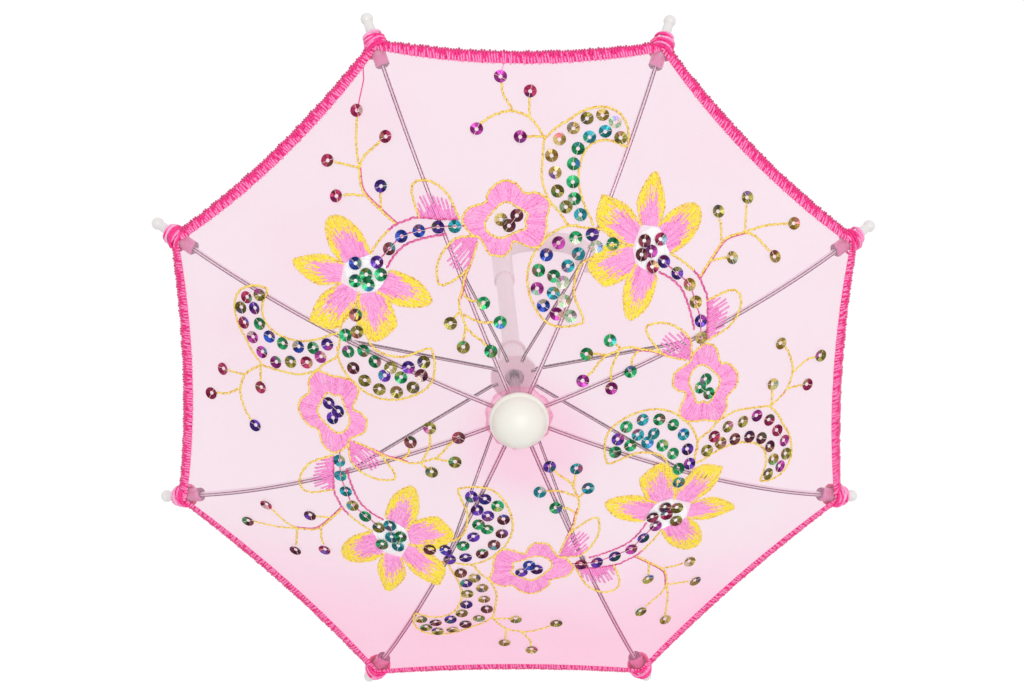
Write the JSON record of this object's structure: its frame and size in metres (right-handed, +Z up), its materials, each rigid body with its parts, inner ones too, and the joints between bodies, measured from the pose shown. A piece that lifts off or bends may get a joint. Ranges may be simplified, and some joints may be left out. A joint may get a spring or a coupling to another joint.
{
  "type": "miniature folding parasol",
  "caption": "Small crook-handled parasol with a sheer embroidered canopy on bowed steel ribs that folds by a sliding runner, with a round knob and ball-ended rib tips.",
  "frame": {"origin": "on the shaft's centre line, in the middle of the straight hand grip", "axes": "+Z up the shaft to the knob, +X the way the crook bends, +Y across the crook"},
  "size_m": [0.2254, 0.2254, 0.1883],
  "materials": {
    "pink_organza": "sheer woven",
    "hot_pink_thread": "overlocked and wound thread",
    "yellow_thread": "machine embroidery",
    "sequin_film": "iridescent metallised film",
    "white_plastic": "moulded, glossy",
    "ivory_plastic": "moulded, glossy",
    "steel_rib": "rolled from bright strip",
    "steel_wire": "drawn, bright"
  },
  "bodies": {
    "shaft": {"shaft_tube": "white_plastic", "shaft_rod": "steel_wire", "top_notch": "white_plastic", "notch_wire": "steel_wire", "canopy_crown": "pink_organza", "top_knob": "ivory_plastic", "handle": "white_plastic"},
    "runner": {"runner": "white_plastic"},
    "rib_arm_1": {"rib_1": "steel_rib", "rib_tip_1": "white_plastic", "rivet_1": "steel_wire"},
    "stretcher_arm_1": {"stretcher_1": "steel_rib"},
    "rib_arm_2": {"rib_2": "steel_rib", "rib_tip_2": "white_plastic", "rivet_2": "steel_wire"},
    "stretcher_arm_2": {"stretcher_2": "steel_rib"},
    "rib_arm_3": {"rib_3": "steel_rib", "rib_tip_3": "white_plastic", "rivet_3": "steel_wire"},
    "stretcher_arm_3": {"stretcher_3": "steel_rib"},
    "rib_arm_4": {"rib_4": "steel_rib", "rib_tip_4": "white_plastic", "rivet_4": "steel_wire"},
    "stretcher_arm_4": {"stretcher_4": "steel_rib"},
    "rib_arm_5": {"rib_5": "steel_rib", "rib_tip_5": "white_plastic", "rivet_5": "steel_wire"},
    "stretcher_arm_5": {"stretcher_5": "steel_rib"},
    "rib_arm_6": {"rib_6": "steel_rib", "rib_tip_6": "white_plastic", "rivet_6": "steel_wire"},
    "stretcher_arm_6": {"stretcher_6": "steel_rib"},
    "rib_arm_7": {"rib_7": "steel_rib", "rib_tip_7": "white_plastic", "rivet_7": "steel_wire"},
    "stretcher_arm_7": {"stretcher_7": "steel_rib"},
    "rib_arm_8": {"rib_8": "steel_rib", "rib_tip_8": "white_plastic", "rivet_8": "steel_wire"},
    "stretcher_arm_8": {"stretcher_8": "steel_rib"},
    "panel_1a": {"canopy_panel_1a": "pink_organza"},
    "panel_1b": {"canopy_panel_1b": "pink_organza"},
    "panel_2a": {"canopy_panel_2a": "pink_organza"},
    "panel_2b": {"canopy_panel_2b": "pink_organza"},
    "panel_3a": {"canopy_panel_3a": "pink_organza"},
    "panel_3b": {"canopy_panel_3b": "pink_organza"},
    "panel_4a": {"canopy_panel_4a": "pink_organza"},
    "panel_4b": {"canopy_panel_4b": "pink_organza"},
    "panel_5a": {"canopy_panel_5a": "pink_organza"},
    "panel_5b": {"canopy_panel_5b": "pink_organza"},
    "panel_6a": {"canopy_panel_6a": "pink_organza"},
    "panel_6b": {"canopy_panel_6b": "pink_organza"},
    "panel_7a": {"canopy_panel_7a": "pink_organza"},
    "panel_7b": {"canopy_panel_7b": "pink_organza"},
    "panel_8a": {"canopy_panel_8a": "pink_organza"},
    "panel_8b": {"canopy_panel_8b": "pink_organza"}
  },
  "joints": [
    {"name": "runner_slide", "type": "slide", "parent": "shaft", "child": "runner", "axis": [0, 0, 1], "range_m": [-0.06938, 0]},
    {"name": "rib_fold_1", "type": "hinge", "parent": "shaft", "child": "rib_arm_1", "pos_m": [0.00462, 0.00191, 0.14238], "axis": [-0.3827, 0.9239, 0], "range_deg": [0, 67.5]},
    {"name": "stretcher_fold_1", "type": "hinge", "parent": "rib_arm_1", "child": "stretcher_arm_1", "pos_m": [0.05077, 0.02103, 0.13448], "axis": [0.3827, -0.9239, 0], "range_deg": [0, 118.31]},
    {"name": "rib_fold_2", "type": "hinge", "parent": "shaft", "child": "rib_arm_2", "pos_m": [0.00191, 0.00462, 0.14238], "axis": [-0.9239, 0.3827, 0], "range_deg": [0, 67.5]},
    {"name": "stretcher_fold_2", "type": "hinge", "parent": "rib_arm_2", "child": "stretcher_arm_2", "pos_m": [0.02103, 0.05077, 0.13448], "axis": [0.9239, -0.3827, 0], "range_deg": [0, 118.31]},
    {"name": "rib_fold_3", "type": "hinge", "parent": "shaft", "child": "rib_arm_3", "pos_m": [-0.00191, 0.00462, 0.14238], "axis": [-0.9239, -0.3827, 0], "range_deg": [0, 67.5]},
    {"name": "stretcher_fold_3", "type": "hinge", "parent": "rib_arm_3", "child": "stretcher_arm_3", "pos_m": [-0.02103, 0.05077, 0.13448], "axis": [0.9239, 0.3827, 0], "range_deg": [0, 118.31]},
    {"name": "rib_fold_4", "type": "hinge", "parent": "shaft", "child": "rib_arm_4", "pos_m": [-0.00462, 0.00191, 0.14238], "axis": [-0.3827, -0.9239, 0], "range_deg": [0, 67.5]},
    {"name": "stretcher_fold_4", "type": "hinge", "parent": "rib_arm_4", "child": "stretcher_arm_4", "pos_m": [-0.05077, 0.02103, 0.13448], "axis": [0.3827, 0.9239, 0], "range_deg": [0, 118.31]},
    {"name": "rib_fold_5", "type": "hinge", "parent": "shaft", "child": "rib_arm_5", "pos_m": [-0.00462, -0.00191, 0.14238], "axis": [0.3827, -0.9239, 0], "range_deg": [0, 67.5]},
    {"name": "stretcher_fold_5", "type": "hinge", "parent": "rib_arm_5", "child": "stretcher_arm_5", "pos_m": [-0.05077, -0.02103, 0.13448], "axis": [-0.3827, 0.9239, 0], "range_deg": [0, 118.31]},
    {"name": "rib_fold_6", "type": "hinge", "parent": "shaft", "child": "rib_arm_6", "pos_m": [-0.00191, -0.00462, 0.14238], "axis": [0.9239, -0.3827, 0], "range_deg": [0, 67.5]},
    {"name": "stretcher_fold_6", "type": "hinge", "parent": "rib_arm_6", "child": "stretcher_arm_6", "pos_m": [-0.02103, -0.05077, 0.13448], "axis": [-0.9239, 0.3827, 0], "range_deg": [0, 118.31]},
    {"name": "rib_fold_7", "type": "hinge", "parent": "shaft", "child": "rib_arm_7", "pos_m": [0.00191, -0.00462, 0.14238], "axis": [0.9239, 0.3827, 0], "range_deg": [0, 67.5]},
    {"name": "stretcher_fold_7", "type": "hinge", "parent": "rib_arm_7", "child": "stretcher_arm_7", "pos_m": [0.02103, -0.05077, 0.13448], "axis": [-0.9239, -0.3827, 0], "range_deg": [0, 118.31]},
    {"name": "rib_fold_8", "type": "hinge", "parent": "shaft", "child": "rib_arm_8", "pos_m": [0.00462, -0.00191, 0.14238], "axis": [0.3827, 0.9239, 0], "range_deg": [0, 67.5]},
    {"name": "stretcher_fold_8", "type": "hinge", "parent": "rib_arm_8", "child": "stretcher_arm_8", "pos_m": [0.05077, -0.02103, 0.13448], "axis": [-0.3827, -0.9239, 0], "range_deg": [0, 118.31]},
    {"name": "panel_fold_1a", "type": "hinge", "parent": "rib_arm_1", "child": "panel_1a", "pos_m": [0.00462, 0.00191, 0.14238], "axis": [0.8647, 0.3582, -0.3522], "range_deg": [0, 65], "deforming": ["canopy_panel_1a"]},
    {"name": "panel_fold_1b", "type": "hinge", "parent": "rib_arm_2", "child": "panel_1b", "pos_m": [0.00191, 0.00462, 0.14238], "axis": [-0.3582, -0.8647, 0.3522], "range_deg": [0, 65], "deforming": ["canopy_panel_1b"]},
    {"name": "panel_fold_2a", "type": "hinge", "parent": "rib_arm_2", "child": "panel_2a", "pos_m": [0.00191, 0.00462, 0.14238], "axis": [0.3582, 0.8647, -0.3522], "range_deg": [0, 65], "deforming": ["canopy_panel_2a"]},
    {"name": "panel_fold_2b", "type": "hinge", "parent": "rib_arm_3", "child": "panel_2b", "pos_m": [-0.00191, 0.00462, 0.14238], "axis": [0.3582, -0.8647, 0.3522], "range_deg": [0, 65], "deforming": ["canopy_panel_2b"]},
    {"name": "panel_fold_3a", "type": "hinge", "parent": "rib_arm_3", "child": "panel_3a", "pos_m": [-0.00191, 0.00462, 0.14238], "axis": [-0.3582, 0.8647, -0.3522], "range_deg": [0, 65], "deforming": ["canopy_panel_3a"]},
    {"name": "panel_fold_3b", "type": "hinge", "parent": "rib_arm_4", "child": "panel_3b", "pos_m": [-0.00462, 0.00191, 0.14238], "axis": [0.8647, -0.3582, 0.3522], "range_deg": [0, 65], "deforming": ["canopy_panel_3b"]},
    {"name": "panel_fold_4a", "type": "hinge", "parent": "rib_arm_4", "child": "panel_4a", "pos_m": [-0.00462, 0.00191, 0.14238], "axis": [-0.8647, 0.3582, -0.3522], "range_deg": [0, 65], "deforming": ["canopy_panel_4a"]},
    {"name": "panel_fold_4b", "type": "hinge", "parent": "rib_arm_5", "child": "panel_4b", "pos_m": [-0.00462, -0.00191, 0.14238], "axis": [0.8647, 0.3582, 0.3522], "range_deg": [0, 65], "deforming": ["canopy_panel_4b"]},
    {"name": "panel_fold_5a", "type": "hinge", "parent": "rib_arm_5", "child": "panel_5a", "pos_m": [-0.00462, -0.00191, 0.14238], "axis": [-0.8647, -0.3582, -0.3522], "range_deg": [0, 65], "deforming": ["canopy_panel_5a"]},
    {"name": "panel_fold_5b", "type": "hinge", "parent": "rib_arm_6", "child": "panel_5b", "pos_m": [-0.00191, -0.00462, 0.14238], "axis": [0.3582, 0.8647, 0.3522], "range_deg": [0, 65], "deforming": ["canopy_panel_5b"]},
    {"name": "panel_fold_6a", "type": "hinge", "parent": "rib_arm_6", "child": "panel_6a", "pos_m": [-0.00191, -0.00462, 0.14238], "axis": [-0.3582, -0.8647, -0.3522], "range_deg": [0, 65], "deforming": ["canopy_panel_6a"]},
    {"name": "panel_fold_6b", "type": "hinge", "parent": "rib_arm_7", "child": "panel_6b", "pos_m": [0.00191, -0.00462, 0.14238], "axis": [-0.3582, 0.8647, 0.3522], "range_deg": [0, 65], "deforming": ["canopy_panel_6b"]},
    {"name": "panel_fold_7a", "type": "hinge", "parent": "rib_arm_7", "child": "panel_7a", "pos_m": [0.00191, -0.00462, 0.14238], "axis": [0.3582, -0.8647, -0.3522], "range_deg": [0, 65], "deforming": ["canopy_panel_7a"]},
    {"name": "panel_fold_7b", "type": "hinge", "parent": "rib_arm_8", "child": "panel_7b", "pos_m": [0.00462, -0.00191, 0.14238], "axis": [-0.8647, 0.3582, 0.3522], "range_deg": [0, 65], "deforming": ["canopy_panel_7b"]},
    {"name": "panel_fold_8a", "type": "hinge", "parent": "rib_arm_8", "child": "panel_8a", "pos_m": [0.00462, -0.00191, 0.14238], "axis": [0.8647, -0.3582, -0.3522], "range_deg": [0, 65], "deforming": ["canopy_panel_8a"]},
    {"name": "panel_fold_8b", "type": "hinge", "parent": "rib_arm_1", "child": "panel_8b", "pos_m": [0.00462, 0.00191, 0.14238], "axis": [-0.8647, -0.3582, 0.3522], "range_deg": [0, 65], "deforming": ["canopy_panel_8b"]}
  ],
  "couplings": [
    {"joint": "rib_fold_1", "follows": "runner_slide", "rad_per_m": -16.855},
    {"joint": "stretcher_fold_1", "follows": "runner_slide", "rad_per_m": -29.636},
    {"joint": "rib_fold_2", "follows": "runner_slide", "rad_per_m": -16.855},
    {"joint": "stretcher_fold_2", "follows": "runner_slide", "rad_per_m": -29.636},
    {"joint": "rib_fold_3", "follows": "runner_slide", "rad_per_m": -16.855},
    {"joint": "stretcher_fold_3", "follows": "runner_slide", "rad_per_m": -29.636},
    {"joint": "rib_fold_4", "follows": "runner_slide", "rad_per_m": -16.855},
    {"joint": "stretcher_fold_4", "follows": "runner_slide", "rad_per_m": -29.636},
    {"joint": "rib_fold_5", "follows": "runner_slide", "rad_per_m": -16.855},
    {"joint": "stretcher_fold_5", "follows": "runner_slide", "rad_per_m": -29.636},
    {"joint": "rib_fold_6", "follows": "runner_slide", "rad_per_m": -16.855},
    {"joint": "stretcher_fold_6", "follows": "runner_slide", "rad_per_m": -29.636},
    {"joint": "rib_fold_7", "follows": "runner_slide", "rad_per_m": -16.855},
    {"joint": "stretcher_fold_7", "follows": "runner_slide", "rad_per_m": -29.636},
    {"joint": "rib_fold_8", "follows": "runner_slide", "rad_per_m": -16.855},
    {"joint": "stretcher_fold_8", "follows": "runner_slide", "rad_per_m": -29.636},
    {"joint": "panel_fold_1a", "follows": "runner_slide", "rad_per_m": -16.226},
    {"joint": "panel_fold_1b", "follows": "runner_slide", "rad_per_m": -16.226},
    {"joint": "panel_fold_2a", "follows": "runner_slide", "rad_per_m": -16.226},
    {"joint": "panel_fold_2b", "follows": "runner_slide", "rad_per_m": -16.226},
    {"joint": "panel_fold_3a", "follows": "runner_slide", "rad_per_m": -16.226},
    {"joint": "panel_fold_3b", "follows": "runner_slide", "rad_per_m": -16.226},
    {"joint": "panel_fold_4a", "follows": "runner_slide", "rad_per_m": -16.226},
    {"joint": "panel_fold_4b", "follows": "runner_slide", "rad_per_m": -16.226},
    {"joint": "panel_fold_5a", "follows": "runner_slide", "rad_per_m": -16.226},
    {"joint": "panel_fold_5b", "follows": "runner_slide", "rad_per_m": -16.226},
    {"joint": "panel_fold_6a", "follows": "runner_slide", "rad_per_m": -16.226},
    {"joint": "panel_fold_6b", "follows": "runner_slide", "rad_per_m": -16.226},
    {"joint": "panel_fold_7a", "follows": "runner_slide", "rad_per_m": -16.226},
    {"joint": "panel_fold_7b", "follows": "runner_slide", "rad_per_m": -16.226},
    {"joint": "panel_fold_8a", "follows": "runner_slide", "rad_per_m": -16.226},
    {"joint": "panel_fold_8b", "follows": "runner_slide", "rad_per_m": -16.226}
  ]
}
